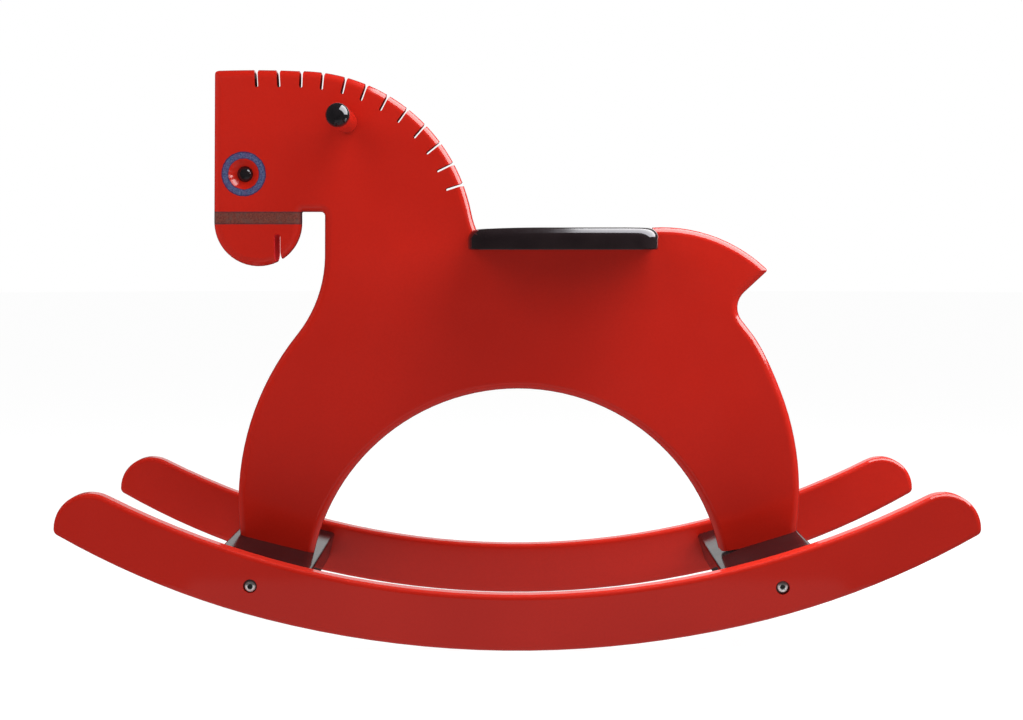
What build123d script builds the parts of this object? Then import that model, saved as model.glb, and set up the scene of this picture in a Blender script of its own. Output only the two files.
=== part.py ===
"""Rocking horse: one flat lacquered board on two curved runners.

Frame: millimetres, +Z up. The origin is on the floor, midway between the two
runners and under the lowest point of their arcs. The horse looks along -X, so
its left side is -Y. X is the long axis and Y = 0 is the mirror plane of
everything except the fasteners' screw threads, which are left plain.
"""

import math
import os

from build123d import *

# ---------------------------------------------------------------- dimensions
# runners
ROCKER_T = 20.0            # thickness of a runner
ROCKER_OUT = 150.0         # outer face of each runner, from the middle
ROCKER_R_MID = 925.0       # radius of the rolling edge along its middle
ROCKER_MID = 230.0         # half length of that middle stretch
ROCKER_R_END = 760.0       # radius of the rolling edge from there to the tips
ROCKER_R_TOP = 832.0       # radius of the upper edge
ROCKER_TOP_CZ = 884.0      # height of the upper edge's centre
ROCKER_HALF_LEN = 424.7    # half of the overall length
ROCKER_TIP_R = 33.0        # rounding of the tips, in outline
ROCKER_EDGE_R = 4.5        # rounding of all of a runner's edges
# body board
BOARD_T = 18.0
BOARD_EDGE_R = 8.0         # rounding of the outline on both faces
MOUTH_X = -234.05          # cut of the mouth, at mid-thickness
MOUTH_TOP = 383.6
MOUTH_W = 6.0
MOUTH_SKEW = -11.3         # its turn about the vertical, degrees
# seat
SEAT_X0, SEAT_X1 = -46.8, 133.7
SEAT_W = 190.0
SEAT_Z0, SEAT_T = 368.0, 21.2
SEAT_FLAT = (22.0, 95.0)   # the level middle of the top; it falls away to both ends
SEAT_FALL_R = 1050.0       # radius of that fall
SEAT_TOP_R = 10.0
SEAT_CORNER_R = 20.0
NECK_FOOT_X = -39.8        # where the neck goes down into the seat's notch
RUMP_X = 133.9             # the step at the rear end of the seat
# handle
HANDLE_X, HANDLE_Z = -167.1, 493.0
HANDLE_D = 22.0
HANDLE_LEN = 186.0         # of the dowel, between its two caps
CAP_D = 22.8               # ball caps
CAP_LEN = 15.5             # of a cap beyond the dowel's end
CAP_SPIGOT_D, CAP_SPIGOT_LEN = 8.0, 14.0
# eye
EYE_X, EYE_Z = -268.2, 442.3
EYE_BEAD_D = 17.2
EYE_BEAD_X = EYE_X + 0.9   # the bead sits a little behind the middle of its dish
EYE_DISH_R = 14.7          # radius of the dished socket at the face
EYE_DISH_SPHERE = 19.0     # radius of the ball that the dish follows
# cross boards: (middle X, height of the middle of the top face, tilt in degrees)
CROSS_FRONT = (-238.4, 75.7, 14.1)
CROSS_REAR = (237.0, 76.1, -17.2)
CROSS_W = 90.0
CROSS_T = 30.0
CROSS_EDGE_R = 3.0
# rocker bolts
BOLT_FRONT = (-244.8, 60.7)
BOLT_REAR = (243.1, 59.2)
BOLT_D = 6.0
BOLT_HEAD_D, BOLT_HEAD_H = 11.4, 4.0
BOLT_BORE_D, BOLT_BORE_DEEP = 12.8, 4.3
BOLT_LEN = 60.0            # under the head
HEX_AF, HEX_DEEP = 4.6, 2.8
NUT_D, NUT_LEN, NUT_IN = 10.0, 18.0, 34.0
# dowels and screws
DOWEL_D = 8.0
CROSS_DOWEL_LEN, CROSS_DOWEL_IN = 38.0, 12.0
CROSS_DOWEL_AT = 29.0      # from the middle of the cross board, each way
FOOT_DOWEL_LEN = 40.0
FOOT_SCREW_D, FOOT_SCREW_HEAD, FOOT_SCREW_LEN = 6.0, 11.0, 66.0
FOOT_SCREW_AT = 23.0
SEAT_DOWEL_X = (-15.0, 43.5, 102.0)
SEAT_DOWEL_UP, SEAT_DOWEL_DOWN = 13.0, 25.0   # in the seat, in the board
FIT = 0.05                 # radial play of every hole round its pin


# ---------------------------------------------------------------- helpers
def face_xz(outline):
    """A face from edges drawn in X and Z, on the plane Y = 0."""
    return make_face(Plane.XZ * outline)


def slab(face, y0, y1):
    """The face, which lies at Y = 0, as a solid from y0 to y1."""
    return Pos(0, y0, 0) * extrude(face, amount=(y1 - y0), dir=(0, 1, 0))


def box(x0, x1, y0, y1, z0, z1):
    return Pos((x0 + x1) / 2, (y0 + y1) / 2, (z0 + z1) / 2) * Box(
        x1 - x0, y1 - y0, z1 - z0
    )


def rod_y(x, z, d, y0, y1):
    """A cylinder along Y."""
    return Pos(x, (y0 + y1) / 2, z) * Rot(90, 0, 0) * Cylinder(d / 2, y1 - y0)


def on_circle(cx, cz, r, x=None, z=None, side=1):
    """The point of a circle at the given x (side = +1 above) or z (side = +1 right)."""
    if x is not None:
        return (x, cz + side * math.sqrt(r * r - (x - cx) ** 2))
    return (cx + side * math.sqrt(r * r - (z - cz) ** 2), z)


def arc(cx, cz, r, p, q):
    """The shorter arc of a circle from p to q."""
    a = math.atan2(p[1] - cz, p[0] - cx)
    b = math.atan2(q[1] - cz, q[0] - cx)
    while b - a > math.pi:
        b -= 2 * math.pi
    while b - a < -math.pi:
        b += 2 * math.pi
    m = (a + b) / 2
    p = (cx + r * math.cos(a), cz + r * math.sin(a))
    q = (cx + r * math.cos(b), cz + r * math.sin(b))
    return ThreePointArc(p, (cx + r * math.cos(m), cz + r * math.sin(m)), q)


def group(solids):
    return Compound(children=list(solids))


# ---------------------------------------------------------------- runners
def rocker_outline():
    r_m, r_e, r_t, c_t = ROCKER_R_MID, ROCKER_R_END, ROCKER_R_TOP, ROCKER_TOP_CZ
    # rolling edge: the middle arc, and an end arc tangent to it on each side
    x_m = ROCKER_MID
    z_m = r_m - math.sqrt(r_m**2 - x_m**2)
    cx_e = x_m - r_e * x_m / r_m
    cz_e = z_m + r_e * (r_m - z_m) / r_m
    # tip: an arc that rolls off the upper edge's arc and ends upright
    cx_t = ROCKER_HALF_LEN - ROCKER_TIP_R
    cz_t = c_t - math.sqrt((r_t + ROCKER_TIP_R) ** 2 - cx_t**2)
    k = ROCKER_TIP_R / (r_t + ROCKER_TIP_R)
    x_t, z_t = cx_t * (1 - k), cz_t + (c_t - cz_t) * k
    turn = math.radians(35)
    x_c, z_c = cx_t + ROCKER_TIP_R * math.sin(turn), cz_t + ROCKER_TIP_R * math.cos(turn)
    # toe: a small arc from the tip's upright end to the end arc
    lo, hi = 2.0, 14.0
    for _ in range(60):
        c = (lo + hi) / 2
        x, z = ROCKER_HALF_LEN, cz_t
        for _ in range(8):
            z_on = cz_e - math.sqrt(r_e**2 - (x - cx_e) ** 2)
            slope = math.asin((x - cx_e) / r_e)
            mean = (-math.pi / 2 + (slope - math.pi)) / 2
            x, z = ROCKER_HALF_LEN + c * math.cos(mean), cz_t + c * math.sin(mean)
        z_on = cz_e - math.sqrt(r_e**2 - (x - cx_e) ** 2)
        if z > z_on:
            lo = c
        else:
            hi = c
    x_b, z_b = x, z_on
    x_n = (x_m + x_b) / 2
    z_n = cz_e - math.sqrt(r_e**2 - (x_n - cx_e) ** 2)
    edges = []
    for s in (1, -1):
        edges.append(ThreePointArc((s * x_t, z_t), (s * x_c, z_c), (s * ROCKER_HALF_LEN, cz_t)))
        edges.append(TangentArc((s * ROCKER_HALF_LEN, cz_t), (s * x_b, z_b), tangent=(0, -1)))
        edges.append(ThreePointArc((s * x_b, z_b), (s * x_n, z_n), (s * x_m, z_m)))
    edges.append(ThreePointArc((-x_m, z_m), (0, 0), (x_m, z_m)))
    edges.append(ThreePointArc((-x_t, z_t), (0, c_t - r_t), (x_t, z_t)))
    return Curve() + edges


def cross_frame(spec, side):
    """Middle of a cross board's top face, with +X local along its width."""
    x, z, tilt = spec
    return Pos(x, 0, z) * Rot(0, tilt, 0)


def cross_dowel_xz(spec):
    """The two dowel axes of a cross board, in world X and Z."""
    x, z, tilt = spec
    t = math.radians(tilt)
    out = []
    for s in (-1, 1):
        u, w = s * CROSS_DOWEL_AT, -CROSS_T / 2
        out.append(
            (x + u * math.cos(t) + w * math.sin(t), z - u * math.sin(t) + w * math.cos(t))
        )
    return out


def make_rocker(sign):
    """sign -1 is the horse's left, +1 its right."""
    face = face_xz(rocker_outline())
    y0, y1 = ROCKER_OUT - ROCKER_T, ROCKER_OUT
    body = slab(face, y0, y1)
    rim = [
        e
        for e in body.edges()
        if abs(e.center().Y - y0) < 1e-4 or abs(e.center().Y - y1) < 1e-4
    ]
    body = fillet(rim, ROCKER_EDGE_R)
    for x, z in (BOLT_FRONT, BOLT_REAR):
        body -= rod_y(x, z, BOLT_D + 2 * FIT, y0 - 1, y1 + 1)
        body -= rod_y(x, z, BOLT_BORE_D, y1 - BOLT_BORE_DEEP, y1 + 1)
    for spec in (CROSS_FRONT, CROSS_REAR):
        for x, z in cross_dowel_xz(spec):
            body -= rod_y(x, z, DOWEL_D + 2 * FIT, y0 - 1, y0 + CROSS_DOWEL_IN)
    return body if sign > 0 else mirror(body, about=Plane.XZ)


# ---------------------------------------------------------------- cross boards
def make_cross(spec, bolt):
    half = ROCKER_OUT - ROCKER_T
    block = Pos(0, 0, -CROSS_T / 2) * Box(CROSS_W, 2 * half, CROSS_T)
    long_edges = block.edges().filter_by(Axis.Y)
    block = fillet(long_edges, CROSS_EDGE_R)
    body = cross_frame(spec, 0) * block
    x, z = bolt
    for s in (-1, 1):
        inner = half - (BOLT_LEN - (ROCKER_T - BOLT_BORE_DEEP)) - 1.0
        body -= rod_y(x, z, BOLT_D + 2 * FIT, min(s * inner, s * (half + 1)), max(s * inner, s * (half + 1)))
        for dx, dz in cross_dowel_xz(spec):
            a, b = half - (CROSS_DOWEL_LEN - CROSS_DOWEL_IN), half + 1
            body -= rod_y(dx, dz, DOWEL_D + 2 * FIT, min(s * a, s * b), max(s * a, s * b))
        body -= barrel_at(spec, bolt, s, NUT_D + 2 * FIT, True)
    for u in (-FOOT_SCREW_AT, FOOT_SCREW_AT):
        body -= foot_screw(spec, u, FIT, 2.0)
    body -= foot_dowel(spec, FIT)
    return body


def barrel_at(spec, bolt, s, d, hole=False):
    """A cross dowel square to the board's faces, with its middle on the bolt's axis."""
    x, z = bolt
    t = spec[2]
    length = NUT_LEN if not hole else 0
    y = s * (ROCKER_OUT - ROCKER_T - NUT_IN)
    if not hole:
        return Pos(x, y, z) * Rot(0, t, 0) * Cylinder(d / 2, NUT_LEN)
    # the hole runs from the underside to the top end of the nut
    low = NUT_LEN / 2 + 40
    return (
        Pos(x, y, z)
        * Rot(0, t, 0)
        * Pos(0, 0, (NUT_LEN / 2 + FIT - low) / 2)
        * Cylinder(d / 2, NUT_LEN / 2 + FIT + low)
    )


def foot_screw(spec, u, grow=0.0, over=0.0):
    """A countersunk screw up through a cross board into the foot; u is its place along the board's width."""
    r, rh = FOOT_SCREW_D / 2 + grow, FOOT_SCREW_HEAD / 2 + grow
    sink = 1.0
    cone = rh - r
    z0 = -CROSS_T + sink
    shank = Pos(0, 0, z0 + FOOT_SCREW_LEN / 2) * Cylinder(r, FOOT_SCREW_LEN)
    head = Pos(0, 0, z0 + cone / 2) * Cone(rh, r, cone)
    s = shank + head
    if over:
        s += Pos(0, 0, z0 - (sink + over) / 2) * Cylinder(rh, sink + over)
    return cross_frame(spec, 0) * Pos(u, 0, 0) * s


def foot_dowel(spec, grow=0.0):
    d = DOWEL_D + 2 * grow
    return (
        cross_frame(spec, 0)
        * Pos(0, 0, FOOT_DOWEL_LEN / 2 - 15.0)
        * Cylinder(d / 2, FOOT_DOWEL_LEN + 2 * grow)
    )


# ---------------------------------------------------------------- body board
# circles of the outline: centre X, centre Z, radius
CHEST = (-8.7, 115.5, 268.8)
THROAT = (-312.6, 361.0, 122.8)
MUZZLE = (-255.4, 395.1, 43.3)
MANE = (-213.4, 371.7, 171.5)
BACK = (143.5, 240.0, 150.3)
RUMP = (5.3, 126.4, 276.05)
TAIL_HOLLOW = (239.1, 311.0, 20.7)
TAIL_RISE = 43.0           # slope of the tail's underside, degrees
TAIL_R = 3.4               # rounding of the tail's point
FOREHEAD_R = 5.5           # rounding of the forehead's corner
ARCH_TOP = (1.2, 230.5)
ARCH_R_FRONT, ARCH_R_REAR = 208.4, 205.4


def unit(v):
    n = math.hypot(*v)
    return (v[0] / n, v[1] / n)


def tail_hollow():
    """Lower and upper end of the hollow under the tail."""
    cx, cz, r = TAIL_HOLLOW
    out = []
    for heading in (127.0, TAIL_RISE):
        h = math.radians(heading + 90)
        out.append((cx + r * math.cos(h), cz + r * math.sin(h)))
    return out


def tail_tip():
    """Sharp point of the tail, the middle of its rounding and where that meets both sides."""
    q = tail_hollow()[1]
    a = math.radians(TAIL_RISE)
    u, n = (math.cos(a), math.sin(a)), (-math.sin(a), math.cos(a))

    def along(r):
        lo, hi = 0.0, 60.0
        for _ in range(60):
            t = (lo + hi) / 2
            x, z = q[0] + t * u[0] + r * n[0], q[1] + t * u[1] + r * n[1]
            if math.hypot(x - BACK[0], z - BACK[1]) < BACK[2] - r:
                lo = t
            else:
                hi = t
        return t, (x, z)

    tip = along(0.0)[1]
    t, c = along(TAIL_R)
    low = (q[0] + t * u[0], q[1] + t * u[1])
    w = unit((c[0] - BACK[0], c[1] - BACK[1]))
    high = (c[0] + w[0] * TAIL_R, c[1] + w[1] * TAIL_R)
    return tip, c, low, high


def forehead():
    """Sharp corner of the forehead, the middle of its rounding and where that meets both sides."""
    x0, z0 = MUZZLE[0] - MUZZLE[2], MUZZLE[1]
    corner = (-296.5, 543.4)
    u = unit((corner[0] - x0, corner[1] - z0))
    r = FOREHEAD_R
    zc = corner[1] + 0.1 - r
    c = (x0 + u[0] / u[1] * (zc - z0) + r / u[1], zc)
    low = (c[0] - r * u[1], c[1] + r * u[0])
    high = (c[0] - 0.03 * r, c[1] + r)
    return corner, c, low, high


def corner_cutter(c, r, low, high):
    """A prism that rounds a corner of the board to the arc about c from low to high."""
    reach = [unit((p[0] - c[0], p[1] - c[1])) for p in (low, high)]
    far = [(c[0] + (r + 6) * d[0], c[1] + (r + 6) * d[1]) for d in reach]
    mid = unit((reach[0][0] + reach[1][0], reach[0][1] + reach[1][1]))
    out = (c[0] + (r + 11) * mid[0], c[1] + (r + 11) * mid[1])
    off = Curve() + [
        Line(low, far[0]),
        Line(far[0], out),
        Line(out, far[1]),
        Line(far[1], high),
        ThreePointArc(high, (c[0] + r * mid[0], c[1] + r * mid[1]), low),
    ]
    return slab(face_xz(off), -20, 20)


def board_outline():
    below = 20.0   # the legs run on below their feet, and are trimmed afterwards
    e = []
    # front leg and chest, from the bottom up
    p0 = on_circle(*CHEST, z=below, side=-1)
    d = math.dist(CHEST[:2], THROAT[:2])
    k = CHEST[2] / d
    p1 = (CHEST[0] + (THROAT[0] - CHEST[0]) * k, CHEST[1] + (THROAT[1] - CHEST[1]) * k)
    e.append(arc(*CHEST, p0, p1))
    # throat
    p2 = (THROAT[0] + THROAT[2], THROAT[1])
    throat = TangentArc(p1, p2, tangent=(e[0] % 1))
    e.append(throat)
    jaw_z, jaw_r = 405.3, 4.0
    p3 = (p2[0] + 0.4, jaw_z - jaw_r)
    e.append(Line(p2, p3))
    p4 = (p3[0] - jaw_r, jaw_z)
    e.append(ThreePointArc(p3, (p3[0] - jaw_r * (1 - math.sqrt(0.5)), jaw_z - jaw_r * (1 - math.sqrt(0.5))), p4))
    # jaw and muzzle
    x_r = MUZZLE[0] + MUZZLE[2]
    c = 1.5
    p5 = (x_r + c, jaw_z)
    e.append(Line(p4, p5))
    p6 = (x_r, jaw_z - c)
    e.append(ThreePointArc(p5, (x_r + c * (1 - math.sqrt(0.5)), jaw_z - c * (1 - math.sqrt(0.5))), p6))
    p7 = (x_r, MUZZLE[1])
    e.append(Line(p6, p7))
    p8 = (MUZZLE[0] - MUZZLE[2], MUZZLE[1])
    e.append(ThreePointArc(p7, (MUZZLE[0], MUZZLE[1] - MUZZLE[2]), p8))
    # nose, leaning back a little, up to the corner of the forehead
    p9 = forehead()[0]
    e.append(Line(p8, p9))
    # flat top of the head, slightly crowned, and the mane
    p11 = on_circle(*MANE, x=MANE[0] - 1.5, side=1)
    e.append(ThreePointArc(p9, (-254.0, 544.15), p11))
    p12 = on_circle(*MANE, z=404.0, side=1)
    e.append(arc(*MANE, p11, p12))
    # the neck flares out into the seat
    p13 = (NECK_FOOT_X + 0.6, 386.0)
    e.append(TangentArc(p12, p13, tangent=(e[-1] % 1)))
    p14 = (NECK_FOOT_X + 0.6, 375.0)
    e.append(Line(p13, p14))
    p15 = (RUMP_X - 10.0, 375.0)
    e.append(Line(p14, p15))
    p16 = on_circle(*BACK, x=RUMP_X - 10.0, side=1)
    e.append(Line(p15, p16))
    # back, down to the point of the tail
    tip, _, _, _ = tail_tip()
    e.append(arc(*BACK, p16, tip))
    # rump, from the foot up, with the hollow under the tail
    q0 = on_circle(*RUMP, z=below, side=1)
    q1 = on_circle(*RUMP, z=228.4, side=1)
    rump = arc(*RUMP, q0, q1)
    lead = (RUMP[1] - q1[1], q1[0] - RUMP[0])
    q2, q3 = tail_hollow()
    run = (TAIL_HOLLOW[1] - q2[1], q2[0] - TAIL_HOLLOW[0])
    upper = Spline(
        q1, (245.6, 264.7), (235.6, 281.6), q2,
        tangents=[unit(lead), unit((-abs(run[0]), abs(run[1])))],
    )
    e += [rump, upper, arc(*TAIL_HOLLOW, q2, q3), Line(q3, tip)]
    # belly arch
    cf = (ARCH_TOP[0], ARCH_TOP[1] - ARCH_R_FRONT)
    cr = (ARCH_TOP[0], ARCH_TOP[1] - ARCH_R_REAR)
    a0 = on_circle(cf[0], cf[1], ARCH_R_FRONT, z=below, side=-1)
    a1 = on_circle(cr[0], cr[1], ARCH_R_REAR, z=below, side=1)
    e.append(arc(cf[0], cf[1], ARCH_R_FRONT, a0, ARCH_TOP))
    e.append(arc(cr[0], cr[1], ARCH_R_REAR, ARCH_TOP, a1))
    e.append(Line(p0, a0))
    e.append(Line(a1, q0))
    return Curve() + e


# saw cuts of the mane: the point on the outline, the inner end and the width
SLOTS = (
    ((-255.5, 543.5), (-254.7, 526.8), 3.1),
    ((-233.8, 543.5), (-233.0, 526.8), 3.1),
    ((-211.0, 542.8), (-211.7, 526.4), 3.2),
    ((-189.8, 541.1), (-191.6, 524.4), 3.1),
    ((-167.6, 536.6), (-171.5, 520.3), 3.0),
    ((-147.3, 529.5), (-153.1, 513.8), 2.9),
    ((-126.6, 518.5), (-134.2, 504.1), 2.8),
    ((-107.5, 505.7), (-117.1, 492.6), 2.7),
    ((-89.7, 490.5), (-101.2, 477.5), 2.7),
    ((-75.0, 473.1), (-88.8, 462.0), 2.6),
    ((-62.5, 452.7), (-78.6, 444.8), 2.5),
    ((-53.5, 432.2), (-69.9, 426.9), 2.5),
)


def slot_cutter(p, q, width):
    """A saw cut through the board with a round inner end and slightly flared lips."""
    (px, pz), (qx, qz) = p, q
    length = math.dist(p, q)
    ux, uz = (qx - px) / length, (qz - pz) / length
    nx, nz = -uz, ux
    w = width / 2
    lip, deep = 0.7, 2.0

    def at(a, b):
        return (px + a * ux + b * nx, pz + a * uz + b * nz)

    inner = length - w
    edges = [
        Line(at(-14, w + 3.2), at(-0.4, w + lip)),
        Line(at(-0.4, w + lip), at(deep, w)),
        Line(at(deep, w), at(inner, w)),
        ThreePointArc(at(inner, w), at(length, 0), at(inner, -w)),
        Line(at(inner, -w), at(deep, -w)),
        Line(at(deep, -w), at(-0.4, -w - lip)),
        Line(at(-0.4, -w - lip), at(-14, -w - 3.2)),
        Line(at(-14, -w - 3.2), at(-14, w + 3.2)),
    ]
    return slab(face_xz(Curve() + edges), -BOARD_T, BOARD_T)


def make_board():
    y0, y1 = -BOARD_T / 2, BOARD_T / 2
    body = slab(face_xz(board_outline()), y0, y1)
    rim = [
        e
        for e in body.edges()
        if (abs(e.center().Y - y0) < 1e-4 or abs(e.center().Y - y1) < 1e-4)
        and e.center().Z > 21.0
    ]
    body = fillet(rim, BOARD_EDGE_R)
    # seat recess
    body -= box(NECK_FOOT_X, RUMP_X, -20, 20, SEAT_Z0, 389.0)
    body -= box(NECK_FOOT_X + 4, RUMP_X, -20, 20, SEAT_Z0, 420.0)
    # feet, trimmed to the top faces of the cross boards
    for spec in (CROSS_FRONT, CROSS_REAR):
        body -= cross_frame(spec, 0) * Pos(0, 0, -60) * Box(170, 60, 120)
    # the rear foot's front corner lifts a little off its board
    lift = Curve() + [
        Line((221.0, 71.2), (206.1, 68.6)),
        ThreePointArc((206.1, 68.6), (203.7, 69.1), (202.2, 70.9)),
        Line((202.2, 70.9), (195.0, 71.6)),
        Line((195.0, 71.6), (195.0, 50.0)),
        Line((195.0, 50.0), (221.0, 50.0)),
        Line((221.0, 50.0), (221.0, 71.2)),
    ]
    body -= slab(face_xz(lift), -20, 20)
    # the forehead's corner and the tail's point are rounded off
    _, c, low, high = forehead()
    body -= corner_cutter(c, FOREHEAD_R, low, high)
    _, c, low, high = tail_tip()
    body -= corner_cutter(c, TAIL_R, low, high)
    # mane
    for p, q, width in SLOTS:
        body -= slot_cutter(p, q, width)
    # mouth: a skewed cut with a round top, up from the underside of the muzzle
    r = MOUTH_W / 2
    cut = box(-r, r, -20, 20, 340, MOUTH_TOP - r) + rod_y(0, MOUTH_TOP - r, MOUTH_W, -20, 20)
    body -= Pos(MOUTH_X, 0, 0) * Rot(0, 0, MOUTH_SKEW) * cut
    # handle bore
    body -= rod_y(HANDLE_X, HANDLE_Z, HANDLE_D + 2 * FIT, -20, 20)
    # eye: a dish in each face round the bead
    reach = math.sqrt(EYE_DISH_SPHERE**2 - EYE_DISH_R**2)
    for s in (-1, 1):
        body -= Pos(EYE_X, s * (BOARD_T / 2 + reach), EYE_Z) * Sphere(EYE_DISH_SPHERE)
    body -= Pos(EYE_BEAD_X, 0, EYE_Z) * Sphere(EYE_BEAD_D / 2 + FIT)
    # holes for the seat dowels, the foot screws and the foot dowels
    for x in SEAT_DOWEL_X:
        body -= seat_dowel(x, FIT)
    for spec in (CROSS_FRONT, CROSS_REAR):
        for u in (-FOOT_SCREW_AT, FOOT_SCREW_AT):
            body -= foot_screw(spec, u, FIT)
        body -= foot_dowel(spec, FIT)
    return body


# ---------------------------------------------------------------- seat
def seat_dowel(x, grow=0.0):
    """A blind upright dowel, half in the seat and half in the board."""
    length = SEAT_DOWEL_UP + SEAT_DOWEL_DOWN
    z = SEAT_Z0 + (SEAT_DOWEL_UP - SEAT_DOWEL_DOWN) / 2
    end = 0.5 if grow else 0.0
    return Pos(x, 0, z) * Cylinder(DOWEL_D / 2 + grow, length + 2 * end)


def make_seat():
    z1 = SEAT_Z0 + SEAT_T
    (xa, xb), r = SEAT_FLAT, SEAT_FALL_R

    def fall(c, x):
        return (x, z1 - r + math.sqrt(r * r - (x - c) ** 2))

    side = Curve() + [
        Line((SEAT_X0, SEAT_Z0), fall(xa, SEAT_X0)),
        ThreePointArc(fall(xa, SEAT_X0), fall(xa, (SEAT_X0 + xa) / 2), (xa, z1)),
        Line((xa, z1), (xb, z1)),
        ThreePointArc((xb, z1), fall(xb, (SEAT_X1 + xb) / 2), fall(xb, SEAT_X1)),
        Line(fall(xb, SEAT_X1), (SEAT_X1, SEAT_Z0)),
        Line((SEAT_X1, SEAT_Z0), (SEAT_X0, SEAT_Z0)),
    ]
    block = slab(face_xz(side), -SEAT_W / 2, SEAT_W / 2)
    block = fillet(block.edges().filter_by(Axis.Z), SEAT_CORNER_R)
    top = [e for e in block.edges() if e.bounding_box().min.Z > SEAT_Z0 + SEAT_T / 2]
    block = fillet(top, SEAT_TOP_R)
    low = [e for e in block.edges() if abs(e.center().Z - SEAT_Z0) < 1e-4]
    block = fillet(low, 2.0)
    # notch round the foot of the neck
    block -= box(SEAT_X0 - 5, NECK_FOOT_X, -BOARD_T / 2 - 0.2, BOARD_T / 2 + 0.2, SEAT_Z0 - 1, SEAT_Z0 + SEAT_T + 1)
    for x in SEAT_DOWEL_X:
        block -= seat_dowel(x, FIT)
    return block


# ---------------------------------------------------------------- small parts
def make_handle():
    half = HANDLE_LEN / 2
    bar = rod_y(HANDLE_X, HANDLE_Z, HANDLE_D, -half, half)
    for s in (-1, 1):
        lo, hi = sorted((s * (half - CAP_SPIGOT_LEN - 0.5), s * (half + 1)))
        bar -= rod_y(HANDLE_X, HANDLE_Z, CAP_SPIGOT_D + 2 * FIT, lo, hi)
    return bar


def make_cap(s):
    """A ball cap with a flat back and a spigot in the dowel's end; s is -1 on the left."""
    half = HANDLE_LEN / 2
    r = CAP_D / 2
    cy = half + CAP_LEN - r
    ball = Pos(HANDLE_X, s * cy, HANDLE_Z) * Sphere(r)
    lo, hi = sorted((s * half, s * (half + 40)))
    ball &= box(HANDLE_X - 30, HANDLE_X + 30, lo, hi, HANDLE_Z - 30, HANDLE_Z + 30)
    lo, hi = sorted((s * (half - CAP_SPIGOT_LEN), s * (half + 2)))
    return ball + rod_y(HANDLE_X, HANDLE_Z, CAP_SPIGOT_D, lo, hi)


def bolt(x, z, s):
    """A button-head bolt along Y, in from the outer face of a runner."""
    seat_y = ROCKER_OUT - BOLT_BORE_DEEP
    r, h = BOLT_HEAD_D / 2, BOLT_HEAD_H
    rim = 1.4
    dome = h - rim
    big = (r * r + dome * dome) / (2 * dome)
    head = Pos(0, 0, rim / 2) * Cylinder(r, rim)
    cap = Pos(0, 0, h - big) * Sphere(big)
    cap &= Pos(0, 0, rim + 10) * Box(40, 40, 20)
    cap &= Pos(0, 0, rim) * Cylinder(r, 2 * h)
    head += cap
    edge = [e for e in head.edges() if abs(e.center().Z) < 1e-4]
    hexagon = extrude(RegularPolygon(HEX_AF / math.sqrt(3), 6), amount=HEX_DEEP + 2)
    head -= Pos(0, 0, h - HEX_DEEP) * hexagon
    shank = Pos(0, 0, -BOLT_LEN / 2 + 0.01) * Cylinder(BOLT_D / 2, BOLT_LEN)
    b = head + shank
    return Pos(x, s * seat_y, z) * Rot(-90 * s, 0, 0) * b


def barrel_nut(spec, at, s):
    n = barrel_at(spec, at, s, NUT_D)
    y = s * (ROCKER_OUT - ROCKER_T - NUT_IN)
    n -= rod_y(at[0], at[1], BOLT_D + 2 * FIT, y - 12, y + 12)
    return n


def cross_dowels():
    out = []
    a = ROCKER_OUT - ROCKER_T - (CROSS_DOWEL_LEN - CROSS_DOWEL_IN)
    for spec in (CROSS_FRONT, CROSS_REAR):
        for x, z in cross_dowel_xz(spec):
            for s in (-1, 1):
                lo, hi = sorted((s * (a + 0.2), s * (a + CROSS_DOWEL_LEN - 0.2)))
                d = rod_y(x, z, DOWEL_D, lo, hi)
                ends = [e for e in d.edges() if e.geom_type == GeomType.CIRCLE]
                out.append(chamfer(ends, 0.8))
    return out


# ---------------------------------------------------------------- write
def main():
    os.makedirs("parts", exist_ok=True)
    pairs = ((CROSS_FRONT, BOLT_FRONT), (CROSS_REAR, BOLT_REAR))
    nodes = {
        "rocker_left": make_rocker(-1),
        "rocker_right": make_rocker(1),
        "cross_board_front": make_cross(CROSS_FRONT, BOLT_FRONT),
        "cross_board_rear": make_cross(CROSS_REAR, BOLT_REAR),
        "body_board": make_board(),
        "seat": make_seat(),
        "seat_dowels": group(seat_dowel(x) for x in SEAT_DOWEL_X),
        "handle_bar": make_handle(),
        "handle_cap_left": make_cap(-1),
        "handle_cap_right": make_cap(1),
        "eye_bead": Pos(EYE_BEAD_X, 0, EYE_Z) * Sphere(EYE_BEAD_D / 2),
        "rocker_bolts": group(bolt(*b, s) for _, b in pairs for s in (-1, 1)),
        "barrel_nuts": group(barrel_nut(c, b, s) for c, b in pairs for s in (-1, 1)),
        "cross_board_dowels": group(cross_dowels()),
        "foot_screws": group(
            foot_screw(c, u) for c, _ in pairs for u in (-FOOT_SCREW_AT, FOOT_SCREW_AT)
        ),
        "foot_dowels": group(
            foot_dowel(c) for c, _ in pairs
        ),
    }
    for name, shape in nodes.items():
        export_step(shape, f"parts/{name}.step")
        print(name, round(sum(s.volume for s in shape.solids()), 1), len(shape.solids()))


main()
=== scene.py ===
import math

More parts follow.
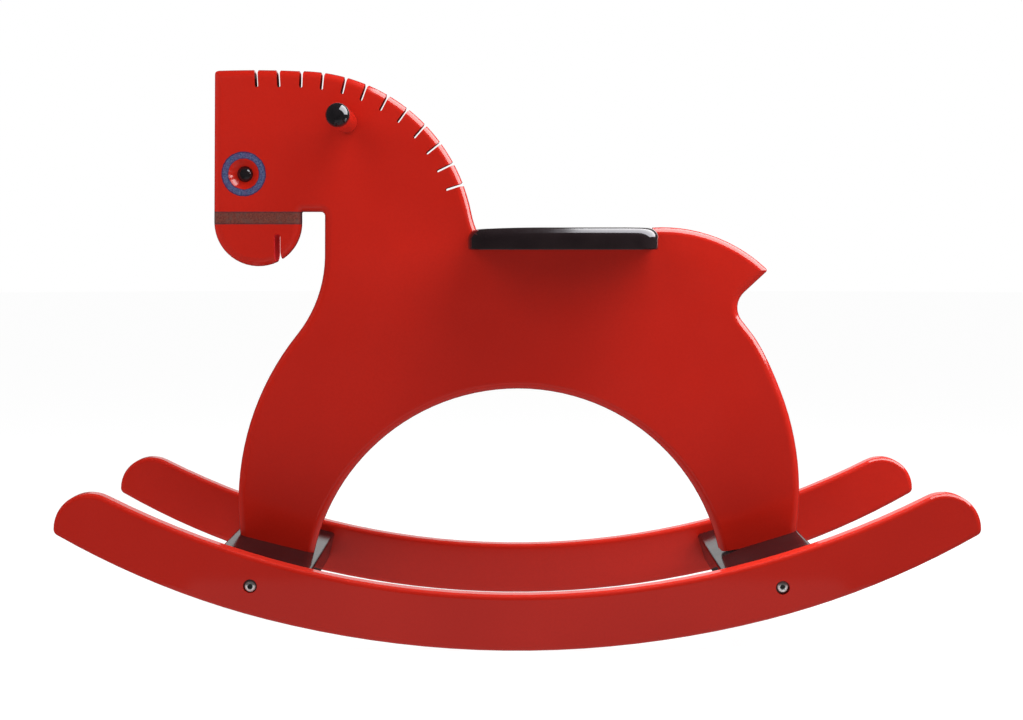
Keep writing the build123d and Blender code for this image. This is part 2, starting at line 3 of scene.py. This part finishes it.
import bpy
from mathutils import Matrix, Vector


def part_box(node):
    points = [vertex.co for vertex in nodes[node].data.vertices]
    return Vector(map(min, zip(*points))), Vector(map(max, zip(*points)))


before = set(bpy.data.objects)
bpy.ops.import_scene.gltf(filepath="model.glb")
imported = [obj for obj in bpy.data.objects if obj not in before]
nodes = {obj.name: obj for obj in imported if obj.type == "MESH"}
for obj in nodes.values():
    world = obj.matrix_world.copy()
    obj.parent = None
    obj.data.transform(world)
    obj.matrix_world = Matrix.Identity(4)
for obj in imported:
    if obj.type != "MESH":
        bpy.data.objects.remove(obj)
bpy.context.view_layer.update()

# ------------------------------------------------------------------ helpers
EYE = (-0.2682, 0.4423)            # X and Z of the eye, on both faces
BAND = (0.3930, 0.4055)            # height of the painted muzzle band
BAND_X = -0.2105                   # the band ends at the jaw gap
MANE = (-0.2134, 0.3717, 0.1715)   # circle of the mane: X, Z, radius
CROWN = 0.5441                     # height of the flat top of the head
MUZZLE = (-0.2554, 0.3951, 0.0433)  # circle of the muzzle


class Tree:
    """A short way to write a node material."""

    def __init__(self, name):
        self.mat = bpy.data.materials.new(name)
        self.mat.use_nodes = True
        self.t = self.mat.node_tree
        self.t.nodes.clear()
        self.out = self.t.nodes.new("ShaderNodeOutputMaterial")
        self.bsdf = self.t.nodes.new("ShaderNodeBsdfPrincipled")
        self.link(self.bsdf.outputs[0], self.out.inputs[0])
        self.pos = self.t.nodes.new("ShaderNodeTexCoord").outputs["Object"]

    def link(self, a, b):
        self.t.links.new(a, b)

    def put(self, sock, value):
        if hasattr(value, "is_output"):
            self.link(value, sock)
        else:
            sock.default_value = value

    def math(self, op, a, b=0.0, c=0.0, clamp=False):
        n = self.t.nodes.new("ShaderNodeMath")
        n.operation = op
        n.use_clamp = clamp
        for i, v in enumerate((a, b, c)):
            self.put(n.inputs[i], v)
        return n.outputs[0]

    def mix(self, fac, a, b, mode="MIX"):
        n = self.t.nodes.new("ShaderNodeMix")
        n.data_type = "RGBA"
        n.blend_type = mode
        self.put(n.inputs["Factor"], fac)
        for key, v in (("A", a), ("B", b)):
            s = [i for i in n.inputs if i.name == key and i.type == "RGBA"][0]
            if not hasattr(v, "is_output") and len(v) == 3:
                v = (*v, 1.0)
            self.put(s, v)
        return [o for o in n.outputs if o.type == "RGBA"][0]

    def ramp(self, fac, lo, hi, to=(0.0, 1.0), smooth=True):
        n = self.t.nodes.new("ShaderNodeMapRange")
        n.interpolation_type = "SMOOTHSTEP" if smooth else "LINEAR"
        self.put(n.inputs["Value"], fac)
        n.inputs["From Min"].default_value = lo
        n.inputs["From Max"].default_value = hi
        n.inputs["To Min"].default_value = to[0]
        n.inputs["To Max"].default_value = to[1]
        return n.outputs["Result"]

    def noise(self, scale, detail=3.0, rough=0.5, vec=None, distort=0.0):
        n = self.t.nodes.new("ShaderNodeTexNoise")
        n.inputs["Scale"].default_value = scale
        n.inputs["Detail"].default_value = detail
        n.inputs["Roughness"].default_value = rough
        n.inputs["Distortion"].default_value = distort
        self.link(vec or self.pos, n.inputs["Vector"])
        return n.outputs["Fac"]

    def voronoi(self, scale, vec=None, feature="F1"):
        n = self.t.nodes.new("ShaderNodeTexVoronoi")
        n.feature = feature
        n.inputs["Scale"].default_value = scale
        self.link(vec or self.pos, n.inputs["Vector"])
        return n.outputs["Distance"]

    def scaled(self, sx, sy, sz):
        n = self.t.nodes.new("ShaderNodeMapping")
        n.inputs["Scale"].default_value = (sx, sy, sz)
        self.link(self.pos, n.inputs["Vector"])
        return n.outputs[0]

    def xyz(self):
        n = self.t.nodes.new("ShaderNodeSeparateXYZ")
        self.link(self.pos, n.inputs[0])
        return n.outputs

    def bump(self, height, distance, strength=1.0, normal=None):
        n = self.t.nodes.new("ShaderNodeBump")
        n.inputs["Strength"].default_value = strength
        n.inputs["Distance"].default_value = distance
        self.link(height, n.inputs["Height"])
        if normal is not None:
            self.link(normal, n.inputs["Normal"])
        return n.outputs[0]


def red_lacquer(name, paint=False, grain=None):
    """Sprayed gloss red over sheet wood: orange peel, faint clouding, a few dust nibs."""
    m = Tree(name)
    b = m.bsdf
    cloud = m.noise(6.0, 3.0, 0.55)
    fine = m.noise(420.0, 4.0, 0.6)
    col = m.mix(m.ramp(cloud, 0.3, 0.7), (0.505, 0.0125, 0.0050), (0.555, 0.0148, 0.0062))
    col = m.mix(m.ramp(fine, 0.35, 0.7, (0.0, 0.24)), col, (0.430, 0.0100, 0.0044))
    rough = m.ramp(m.noise(30.0, 4.0, 0.6), 0.3, 0.7, (0.32, 0.42))
    peel = m.noise(210.0, 2.0, 0.45)
    wave = m.noise(30.0, 2.0, 0.5)
    height = m.math("ADD", m.math("MULTIPLY", peel, 0.18), wave)
    if grain:
        streak = m.noise(160.0, 3.0, 0.6, vec=m.scaled(*grain))
        height = m.math("ADD", height, m.math("MULTIPLY", streak, 0.4))
    nib = m.ramp(m.voronoi(55.0), 0.0, 0.035, (1.0, 0.0))
    height = m.math("ADD", height, m.math("MULTIPLY", nib, 0.2))
    coat, level = 1.0, 0.12
    if paint:
        x, y, z = m.xyz()[0], m.xyz()[1], m.xyz()[2]
        dx = m.math("SUBTRACT", x, EYE[0])
        dz = m.math("SUBTRACT", z, EYE[1])
        r = m.math("SQRT", m.math("ADD", m.math("MULTIPLY", dx, dx), m.math("MULTIPLY", dz, dz)))
        wob = m.math("MULTIPLY", m.math("SUBTRACT", m.noise(300.0, 4.0, 0.65), 0.5), 0.0016)
        r = m.math("ADD", r, wob)
        # the blue ring, darker where the paint piled up at its two rims
        ring = m.math("MULTIPLY", m.ramp(r, 0.0146, 0.0153), m.ramp(r, 0.0216, 0.0222, (1.0, 0.0)))
        mott = m.noise(560.0, 5.0, 0.75)
        blot = m.noise(190.0, 3.0, 0.6)
        blue = m.mix(m.ramp(mott, 0.36, 0.64), (0.028, 0.040, 0.125), (0.118, 0.142, 0.270))
        blue = m.mix(m.ramp(blot, 0.48, 0.72, (0.0, 0.65)), blue, (0.110, 0.050, 0.150))
        rim = m.math("ADD", m.ramp(r, 0.0203, 0.0214), m.ramp(r, 0.0150, 0.0163, (1.0, 0.0)), clamp=True)
        blue = m.mix(m.math("MULTIPLY", rim, 0.85), blue, (0.045, 0.012, 0.055))
        col = m.mix(ring, col, blue)
        # the grey-brown band of the muzzle
        zz = m.math("ADD", z, m.math("MULTIPLY", wob, 0.55))
        lo = m.ramp(zz, BAND[0] - 0.0006, BAND[0] + 0.0006)
        hi = m.ramp(zz, BAND[1] - 0.0006, BAND[1] + 0.0006, (1.0, 0.0))
        band = m.math("MULTIPLY", lo, hi)
        band = m.math("MULTIPLY", band, m.ramp(x, BAND_X - 0.0004, BAND_X + 0.0004, (1.0, 0.0)))
        grey = m.mix(m.ramp(mott, 0.34, 0.66), (0.100, 0.026, 0.022), (0.230, 0.060, 0.042))
        grey = m.mix(m.ramp(blot, 0.42, 0.70, (0.0, 0.75)), grey, (0.135, 0.062, 0.053))
        grey = m.mix(m.ramp(m.noise(75.0, 3.0, 0.6), 0.5, 0.72, (0.0, 0.5)), grey, (0.230, 0.030, 0.020))
        trim = m.math("ADD", m.ramp(zz, BAND[0] + 0.0004, BAND[0] + 0.0022, (1.0, 0.0)), m.ramp(zz, BAND[1] - 0.0022, BAND[1] - 0.0004), clamp=True)
        grey = m.mix(m.math("MULTIPLY", trim, 0.55), grey, (0.060, 0.020, 0.030))
        ends = m.ramp(m.math("ABSOLUTE", y), 0.0030, 0.0062, (1.0, 0.0))
        grey = m.mix(m.math("MULTIPLY", ends, 0.9), grey, (0.014, 0.016, 0.045))
        col = m.mix(band, col, grey)
        mask = m.math("ADD", ring, band, clamp=True)
        rough = m.math("ADD", rough, m.math("MULTIPLY", mask, 0.12))
        height = m.math("ADD", height, m.math("MULTIPLY", mask, 0.8))
        # walls of the saw cuts: thin, dull paint, darker partly as painted shade, and the mouth's wall painted lighter
        # than the face as painted light; the very edges of the board get less coat and a darker red that is painted
        # shade
        nrm = m.t.nodes.new("ShaderNodeSeparateXYZ")
        m.link(m.t.nodes.new("ShaderNodeTexCoord").outputs["Normal"], nrm.inputs[0])
        flat = m.ramp(m.math("ABSOLUTE", nrm.outputs["Y"]), 0.14, 0.42, (1.0, 0.0))
        mx = m.math("SUBTRACT", x, MANE[0])
        mz = m.math("SUBTRACT", z, MANE[1])
        mr = m.math("SQRT", m.math("ADD", m.math("MULTIPLY", mx, mx), m.math("MULTIPLY", mz, mz)))
        deep = m.ramp(mr, MANE[2] - 0.0022, MANE[2] - 0.0008, (1.0, 0.0))
        top = m.ramp(z, CROWN - 0.0022, CROWN - 0.0008, (1.0, 0.0))
        mane = m.math("MULTIPLY", m.math("MULTIPLY", deep, top), m.ramp(z, 0.415, 0.417))
        mane = m.math("MULTIPLY", mane, m.ramp(x, -0.270, -0.268))
        ux = m.math("SUBTRACT", x, MUZZLE[0])
        uz = m.math("SUBTRACT", z, MUZZLE[1])
        ur = m.math("SQRT", m.math("ADD", m.math("MULTIPLY", ux, ux), m.math("MULTIPLY", uz, uz)))
        mouth = m.math("MULTIPLY", m.ramp(ur, MUZZLE[2] - 0.0016, MUZZLE[2] - 0.0006, (1.0, 0.0)), m.ramp(z, 0.385, 0.387, (1.0, 0.0)))
        cut = m.math("MULTIPLY", m.math("ADD", mane, mouth, clamp=True), flat)
        # painted shade: the outermost, side-facing edges of the board are darkened
        col = m.mix(m.math("MULTIPLY", flat, 0.75), col, (0.170, 0.0050, 0.0060))
        fibre = m.noise(900.0, 3.0, 0.6, vec=m.scaled(1.0, 0.15, 1.0))
        # thin paint in the mane cuts, its darker red partly painted shade
        cut_paint_shade_and_light = m.mix(m.ramp(fibre, 0.3, 0.7), (0.200, 0.0090, 0.0090), (0.300, 0.0140, 0.0120))
        # painted light: the mouth's wall is lit up to a red lighter than the face
        cut_paint_shade_and_light = m.mix(mouth, cut_paint_shade_and_light, (0.720, 0.028, 0.034))
        col = m.mix(cut, col, cut_paint_shade_and_light)
        rough = m.math("ADD", rough, m.math("MULTIPLY", cut, 0.35))
        level = m.math("MULTIPLY", m.math("SUBTRACT", 1.0, m.math("MAXIMUM", cut, flat)), 0.12)
        coat = m.math("SUBTRACT", 1.0, m.math("MAXIMUM", m.math("MULTIPLY", cut, 0.95), m.math("MULTIPLY", flat, 0.40)))
        # lacquer pooled in a thin arc just inside the rim of the eye's dish
        pool = m.math("MULTIPLY", m.ramp(r, 0.0104, 0.0113), m.ramp(r, 0.0131, 0.0139, (1.0, 0.0)))
        dish = m.math("MULTIPLY", m.ramp(r, 0.0140, 0.0146, (1.0, 0.0)), m.math("SUBTRACT", 1.0, pool))
        coat = m.math("MULTIPLY", coat, m.math("SUBTRACT", 1.0, m.math("MULTIPLY", dish, 0.8)))
    else:
        # the top of a runner gets a thinner coat, and a lighter red there that is painted light from above
        nrm = m.t.nodes.new("ShaderNodeSeparateXYZ")
        m.link(m.t.nodes.new("ShaderNodeTexCoord").outputs["Normal"], nrm.inputs[0])
        up = m.ramp(nrm.outputs["Z"], 0.55, 0.85)
        coat = m.math("SUBTRACT", 1.0, m.math("MULTIPLY", up, 0.5))
        level = m.math("MULTIPLY", m.math("SUBTRACT", 1.0, m.math("MULTIPLY", up, 0.8)), 0.12)
        # painted light: upward-facing surfaces of the runner are a lighter red
        col = m.mix(m.math("MULTIPLY", up, 0.35), col, (0.760, 0.050, 0.032))
    m.put(b.inputs["Base Color"], col)
    m.put(b.inputs["Roughness"], rough)
    m.put(b.inputs["Normal"], m.bump(height, 0.00003))
    b.inputs["IOR"].default_value = 1.5
    m.put(b.inputs["Specular IOR Level"], level)
    m.put(b.inputs["Coat Weight"], coat)
    b.inputs["Coat Roughness"].default_value = 0.09
    b.inputs["Coat IOR"].default_value = 1.55
    m.put(b.inputs["Coat Normal"], m.bump(height, 0.000012))
    return m.mat


def black_lacquer(name, rough_to=(0.10, 0.17), coat=0.8, tint=(0.90, 0.88, 1.0), level=0.5):
    """Black lacquer on sheet wood, with the light haze and hairlines of handling."""
    m = Tree(name)
    b = m.bsdf
    haze = m.noise(22.0, 5.0, 0.6)
    speck = m.ramp(m.voronoi(210.0), 0.0, 0.07, (1.0, 0.0))
    col = m.mix(m.ramp(haze, 0.3, 0.75), (0.0115, 0.0070, 0.0080), (0.0190, 0.0120, 0.0130))
    col = m.mix(m.math("MULTIPLY", speck, 0.35), col, (0.06, 0.055, 0.06))
    hair = m.noise(34.0, 4.0, 0.7, vec=m.scaled(1.0, 9.0, 9.0))
    blend = m.math("ADD", m.math("MULTIPLY", haze, 0.6), m.math("MULTIPLY", hair, 0.4))
    rough = m.ramp(blend, 0.35, 0.65, rough_to)
    peel = m.math("ADD", m.math("MULTIPLY", m.noise(200.0, 2.0, 0.45), 0.2), m.noise(26.0, 2.0, 0.5))
    m.put(b.inputs["Base Color"], col)
    m.put(b.inputs["Roughness"], rough)
    m.put(b.inputs["Normal"], m.bump(peel, 0.00002))
    b.inputs["IOR"].default_value = 1.5
    b.inputs["Specular Tint"].default_value = (*tint, 1.0)
    b.inputs["Specular IOR Level"].default_value = level
    b.inputs["Coat Weight"].default_value = coat
    b.inputs["Coat Roughness"].default_value = 0.10
    m.put(b.inputs["Coat Normal"], m.bump(peel, 0.000012))
    return m.mat


def black_gloss(name):
    """Polished black moulding."""
    m = Tree(name)
    b = m.bsdf
    swirl = m.noise(90.0, 4.0, 0.6)
    speck = m.ramp(m.voronoi(600.0), 0.0, 0.05, (1.0, 0.0))
    col = m.mix(m.ramp(swirl, 0.3, 0.7), (0.0065, 0.0055, 0.0065), (0.0130, 0.0110, 0.0125))
    col = m.mix(m.math("MULTIPLY", speck, 0.3), col, (0.05, 0.05, 0.055))
    m.put(b.inputs["Base Color"], col)
    m.put(b.inputs["Roughness"], m.ramp(swirl, 0.3, 0.7, (0.06, 0.11)))
    m.put(b.inputs["Normal"], m.bump(m.noise(160.0, 2.0, 0.4), 0.000003))
    b.inputs["IOR"].default_value = 1.56
    b.inputs["Specular Tint"].default_value = (0.92, 0.92, 1.0, 1.0)
    b.inputs["Coat Weight"].default_value = 0.6
    b.inputs["Coat Roughness"].default_value = 0.04
    return m.mat


def bright_metal(name):
    """Bright plating, with painted shade in the sockets and at the rims of the bolt heads and a darker painted
    reflection on the upper part of their domes.
    """
    m = Tree(name)
    b = m.bsdf
    turn = m.noise(900.0, 3.0, 0.6)
    tone = m.noise(120.0, 4.0, 0.6)
    col = m.mix(m.ramp(tone, 0.35, 0.7), (0.98, 0.98, 0.97), (0.86, 0.86, 0.87))
    # distance from the nearest bolt's axis
    lo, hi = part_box("rocker_bolts")
    head = 0.0057
    x, y, z = m.xyz()[0], m.xyz()[1], m.xyz()[2]
    mid = 0.5 * (lo[0] + hi[0])
    dx = m.math("SUBTRACT", m.math("ABSOLUTE", m.math("SUBTRACT", x, mid)), 0.5 * (hi[0] - lo[0]) - head)
    dz = m.math("SUBTRACT", z, 0.5 * (lo[2] + hi[2]))
    r = m.math("SQRT", m.math("ADD", m.math("MULTIPLY", dx, dx), m.math("MULTIPLY", dz, dz)))
    outer = m.ramp(m.math("ABSOLUTE", y), hi[1] - 0.0045, hi[1] - 0.0044)
    socket = m.math("MULTIPLY", m.ramp(r, 0.0022, 0.0027, (1.0, 0.0)), outer)
    crown = m.math("MULTIPLY", m.ramp(dz, 0.0004, 0.0024), outer)
    rim = m.math("MULTIPLY", m.ramp(r, 0.0043, 0.0050), m.ramp(m.math("ABSOLUTE", y), hi[1] - 0.0046, hi[1] - 0.0045))
    # painted shade: socket and rim of each bolt head darkened, and the upper part of the dome darkened as a painted
    # dark reflection
    shade = m.math("MAXIMUM", m.math("MULTIPLY", socket, 0.97), m.math("MULTIPLY", crown, 0.80))
    shade = m.math("MAXIMUM", shade, m.math("MULTIPLY", rim, 0.93))
    m.put(b.inputs["Base Color"], m.mix(shade, col, (0.020, 0.018, 0.018)))
    m.put(b.inputs["Roughness"], m.math("ADD", m.ramp(tone, 0.3, 0.7, (0.18, 0.28)), m.math("MULTIPLY", socket, 0.3)))
    m.put(b.inputs["Normal"], m.bump(turn, 0.00001))
    b.inputs["Metallic"].default_value = 0.15
    return m.mat


def beech(name, along):
    m = Tree(name)
    b = m.bsdf
    grain = m.noise(60.0, 5.0, 0.6, vec=m.scaled(*along))
    fleck = m.noise(700.0, 2.0, 0.5, vec=m.scaled(*along))
    col = m.mix(m.ramp(grain, 0.3, 0.7), (0.52, 0.33, 0.18), (0.68, 0.47, 0.28))
    col = m.mix(m.ramp(fleck, 0.6, 0.75, (0.0, 0.5)), col, (0.36, 0.20, 0.10))
    m.put(b.inputs["Base Color"], col)
    m.put(b.inputs["Roughness"], m.ramp(grain, 0.3, 0.7, (0.55, 0.7)))
    m.put(b.inputs["Normal"], m.bump(fleck, 0.00005))
    return m.mat


looks = {
    "body_board": red_lacquer("red_lacquer_board", paint=True),
    "rocker_left": red_lacquer("red_lacquer_runner"),
    "handle_bar": red_lacquer("red_lacquer_dowel", grain=(6.0, 0.25, 6.0)),
    "seat": black_lacquer("black_lacquer_seat"),
    "cross_board_front": black_lacquer("black_lacquer_cross", rough_to=(0.13, 0.19), coat=0.0, tint=(0.45, 0.66, 0.80), level=0.08),
    "handle_cap_left": black_gloss("black_gloss_cap"),
    "eye_bead": black_gloss("black_gloss_bead"),
    "rocker_bolts": bright_metal("bright_bolt"),
    "barrel_nuts": bright_metal("bright_nut"),
    "foot_screws": bright_metal("bright_screw"),
    "cross_board_dowels": beech("beech_y", (6.0, 0.4, 6.0)),
    "foot_dowels": beech("beech_z", (6.0, 6.0, 0.4)),
}
looks["rocker_right"] = looks["rocker_left"]
looks["cross_board_rear"] = looks["cross_board_front"]
looks["handle_cap_right"] = looks["handle_cap_left"]
looks["seat_dowels"] = looks["foot_dowels"]

for name, obj in nodes.items():
    mat = looks[name]
    obj.data.materials.clear()
    obj.data.materials.append(mat)

# ------------------------------------------------------------------ studio
def emitter(name, color, strength):
    m = bpy.data.materials.new(name)
    m.use_nodes = True
    t = m.node_tree
    t.nodes.clear()
    out = t.nodes.new("ShaderNodeOutputMaterial")
    em = t.nodes.new("ShaderNodeEmission")
    em.inputs["Color"].default_value = (*color, 1.0)
    em.inputs["Strength"].default_value = strength
    t.links.new(em.outputs[0], out.inputs[0])
    return m, t, em, out


def disc(name, radius, z, n=96):
    mesh = bpy.data.meshes.new(name)
    pts = [(radius * math.cos(2 * math.pi * i / n), radius * math.sin(2 * math.pi * i / n), z) for i in range(n)]
    mesh.from_pydata(pts, [], [list(range(n))])
    o = bpy.data.objects.new(name, mesh)
    bpy.context.scene.collection.objects.link(o)
    return o


floor = disc("floor", 14.0, 0.0)
mat, t, em, out = emitter("floor_paper", (1.0, 1.0, 1.0), 0.97)
dif = t.nodes.new("ShaderNodeBsdfDiffuse")
dif.inputs["Color"].default_value = (0.16, 0.16, 0.16, 1.0)
add = t.nodes.new("ShaderNodeAddShader")
t.links.new(em.outputs[0], add.inputs[0])
t.links.new(dif.outputs[0], add.inputs[1])
t.links.new(add.outputs[0], out.inputs[0])
floor.data.materials.append(mat)
floor.visible_glossy = False
floor.visible_diffuse = False
floor.visible_shadow = False

# the light that a pale floor throws up at the horse
glow = disc("floor_glow", 14.0, -0.001)
mat, t, em, out = emitter("floor_glow", (1.0, 1.0, 1.0), 0.93)
glow.data.materials.append(mat)
glow.visible_camera = False
glow.visible_glossy = False
glow.visible_shadow = False

# the part of the floor near the horse, as its lacquer and bolts mirror it
mesh = bpy.data.meshes.new("floor_sheen")
mesh.from_pydata([(-0.36, -0.5, 0.0004), (0.36, -0.5, 0.0004), (0.36, 0.14, 0.0004), (-0.36, 0.14, 0.0004)], [], [(0, 1, 2, 3)])
sheen = bpy.data.objects.new("floor_sheen", mesh)
bpy.context.scene.collection.objects.link(sheen)
mat, t, em, out = emitter("floor_sheen", (1.0, 1.0, 1.0), 0.20)
sheen.data.materials.append(mat)
sheen.visible_camera = False
sheen.visible_diffuse = False
sheen.visible_shadow = False

# a plain white surround that only the camera sees
bpy.ops.mesh.primitive_uv_sphere_add(segments=48, ring_count=24, radius=16.0, location=(0, 0, 0))
surround = bpy.context.object
surround.name = "surround"
mat, t, em, out = emitter("surround_white", (1.0, 1.0, 1.0), 1.0)
surround.data.materials.append(mat)
surround.visible_diffuse = False
surround.visible_glossy = False
surround.visible_transmission = False
surround.visible_volume_scatter = False
surround.visible_shadow = False

world = bpy.data.worlds.new("studio")
bpy.context.scene.world = world
world.use_nodes = True
wt = world.node_tree
wt.nodes.clear()
wo = wt.nodes.new("ShaderNodeOutputWorld")
bg = wt.nodes.new("ShaderNodeBackground")
wt.links.new(bg.outputs[0], wo.inputs[0])
bg.inputs["Color"].default_value = (1.0, 1.0, 1.0, 1.0)
# a dim room, with the white backdrop straight behind the horse
tc = wt.nodes.new("ShaderNodeTexCoord")
sep = wt.nodes.new("ShaderNodeSeparateXYZ")
wt.links.new(tc.outputs["Generated"], sep.inputs[0])
mr = wt.nodes.new("ShaderNodeMapRange")
mr.interpolation_type = "SMOOTHSTEP"
mr.inputs["From Min"].default_value = 0.80
mr.inputs["From Max"].default_value = 0.93
wt.links.new(sep.outputs["Y"], mr.inputs["Value"])
last = mr.outputs["Result"]
for lo, hi, up in ((0.10, 0.15, True), (0.32, 0.42, False)):
    edge = wt.nodes.new("ShaderNodeMapRange")
    edge.interpolation_type = "SMOOTHSTEP"
    edge.inputs["From Min"].default_value = lo
    edge.inputs["From Max"].default_value = hi
    edge.inputs["To Min"].default_value = 0.0 if up else 1.0
    edge.inputs["To Max"].default_value = 1.0 if up else 0.0
    wt.links.new(sep.outputs["Z"], edge.inputs["Value"])
    mul = wt.nodes.new("ShaderNodeMath")
    mul.operation = "MULTIPLY"
    wt.links.new(last, mul.inputs[0])
    wt.links.new(edge.outputs["Result"], mul.inputs[1])
    last = mul.outputs[0]
sc = wt.nodes.new("ShaderNodeMath")
sc.operation = "MULTIPLY_ADD"
wt.links.new(last, sc.inputs[0])
sc.inputs[1].default_value = 1.15
sc.inputs[2].default_value = 0.035
wt.links.new(sc.outputs[0], bg.inputs["Strength"])


def softbox(name, direction, radiance, size=(0.8, 0.8), distance=1.5, target=(0.0, 0.0, 0.35), mirrored=True, color=(1, 1, 1)):
    """A plain square light of the given radiance; mirrored = False keeps it out of reflections."""
    d = math.sqrt(sum(c * c for c in direction))
    light = bpy.data.lights.new(name, "AREA")
    light.shape = "RECTANGLE"
    light.size, light.size_y = size
    light.energy = radiance * math.pi * size[0] * size[1]
    light.color = color
    o = bpy.data.objects.new(name, light)
    bpy.context.scene.collection.objects.link(o)
    o.location = [target[i] + direction[i] / d * distance for i in range(3)]
    o.rotation_euler = (Vector(target) - Vector(o.location)).to_track_quat("-Z", "Y").to_euler()
    o.visible_glossy = mirrored
    o.visible_camera = False
    return o


# one large panel up on the right, reaching behind the horse, and weak fills
softbox("panel", (0.4294, 0.0, 0.9031), 6.3, size=(1.02, 1.35), distance=1.0, target=(0.2606, -0.06, 0.0069))
softbox("left_soft", (-0.947, -0.081, 0.312), 3.6, mirrored=False)
softbox("front_left", (-0.496, -0.744, 0.447), 2.7, mirrored=False)

# ------------------------------------------------------------------ camera
cam = bpy.data.cameras.new("camera")
cam.sensor_width = 36.0
cam.lens = 62.147
cam.clip_start = 0.05
cam.clip_end = 60.0
eye = bpy.data.objects.new("camera", cam)
bpy.context.scene.collection.objects.link(eye)
eye.location = (-0.005332, -1.75, 0.36882)
eye.rotation_euler = (math.radians(86.4035), 0.0, 0.0)
bpy.context.scene.camera = eye

scene = bpy.context.scene
scene.view_settings.view_transform = "Standard"
scene.view_settings.look = "None"
scene.view_settings.exposure = 0.0
scene.view_settings.gamma = 1.0
